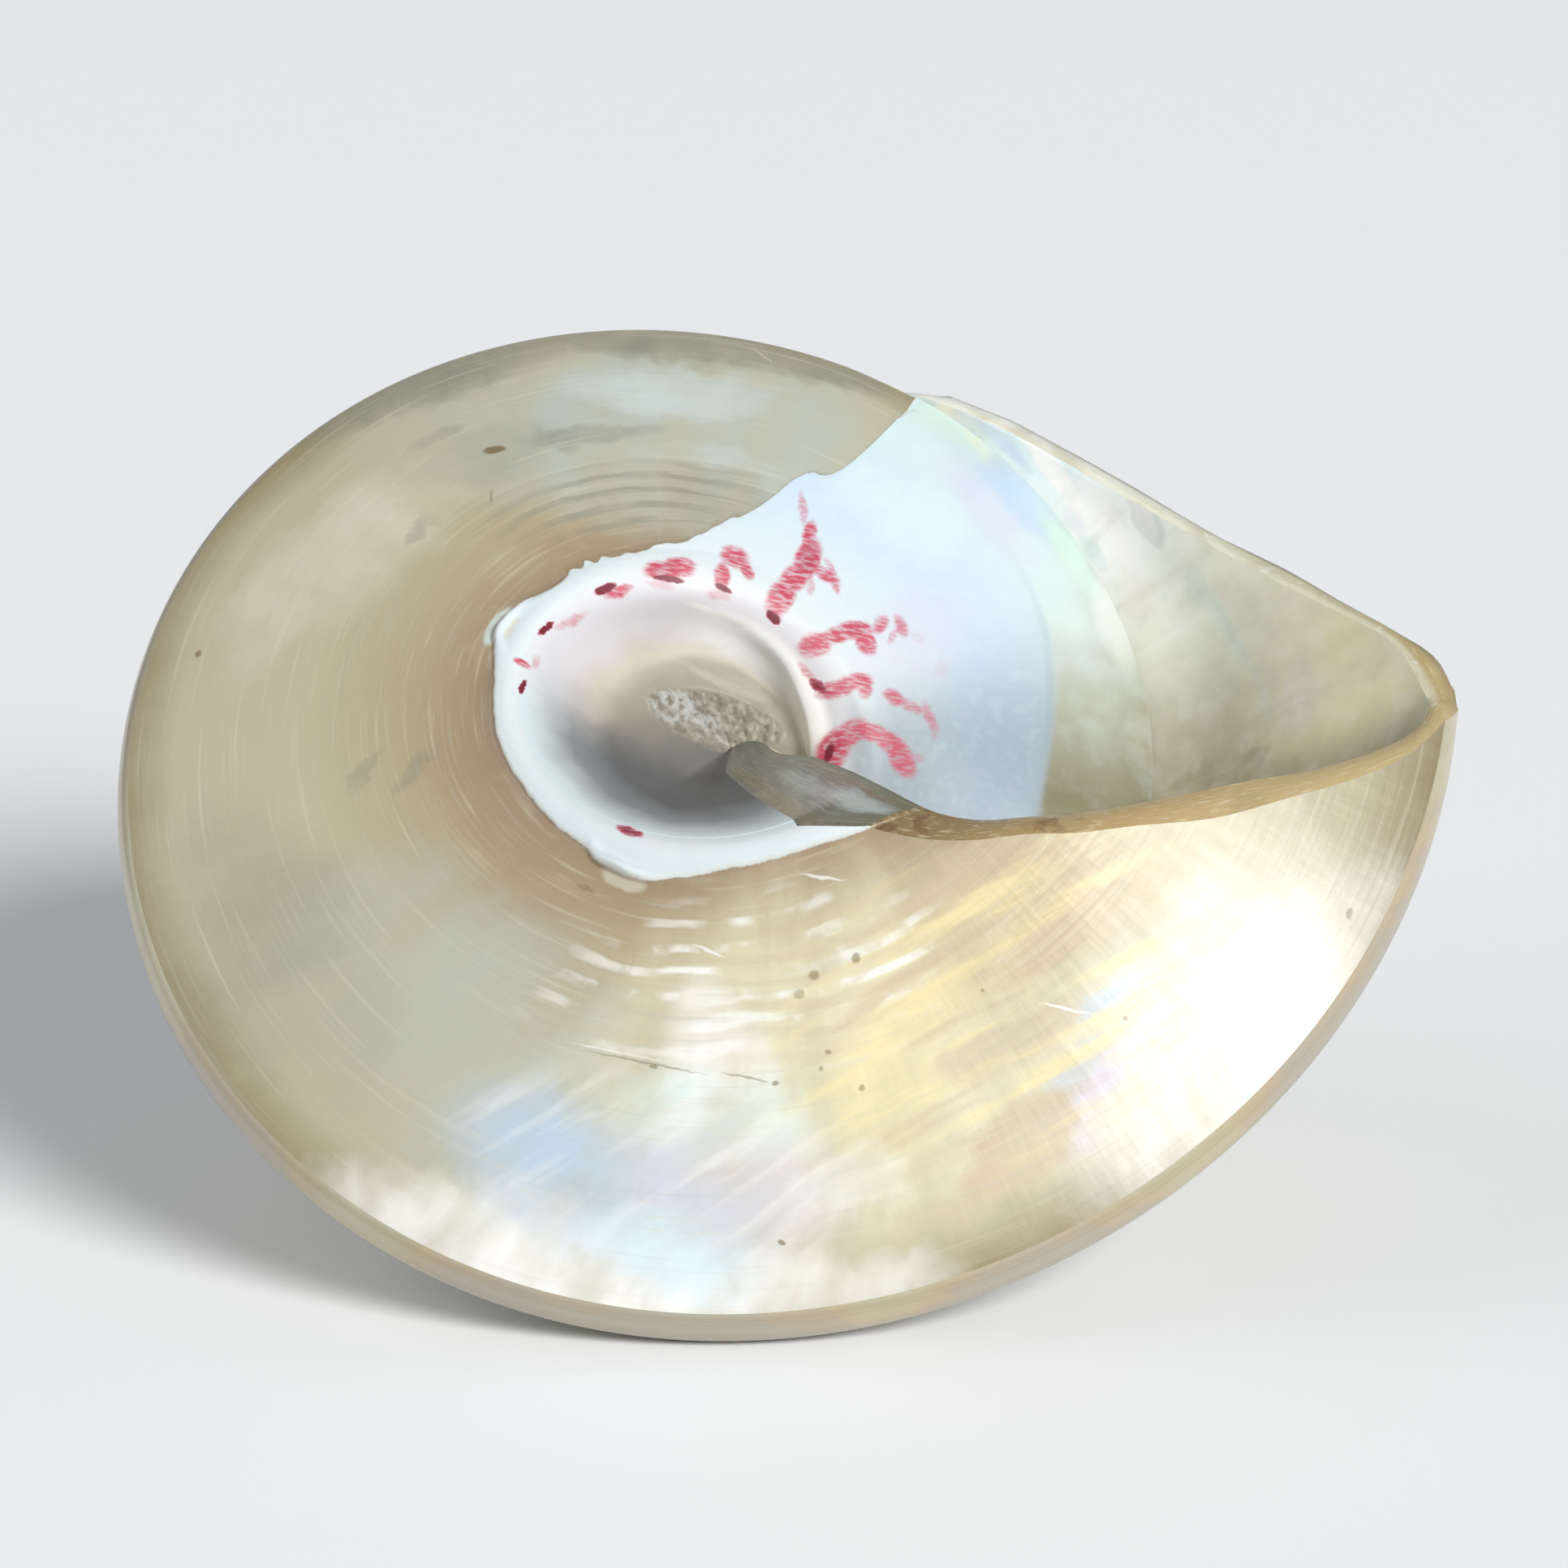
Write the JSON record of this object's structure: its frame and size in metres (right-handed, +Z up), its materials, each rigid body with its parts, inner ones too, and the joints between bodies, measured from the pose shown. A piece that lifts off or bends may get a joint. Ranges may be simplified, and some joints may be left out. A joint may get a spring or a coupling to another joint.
{
  "type": "polished trochus shell",
  "caption": "Conical top shell with a keeled body whorl, a slightly domed base, a callus-lined umbilicus and a wide slanting mouth, lying on its side.",
  "frame": {"origin": "middle of the footprint box on the surface that the shell lies on", "axes": "+Z up from the surface, +X from the far side of the keel towards the tip of the lip, -Y to the front, where the base and the mouth look"},
  "size_m": [0.1014, 0.0774, 0.0626],
  "materials": {
    "nacre": "polished mother-of-pearl, white callus and tan cut lip"
  },
  "bodies": {
    "root": {"trochus_shell": "nacre"}
  },
  "joints": []
}
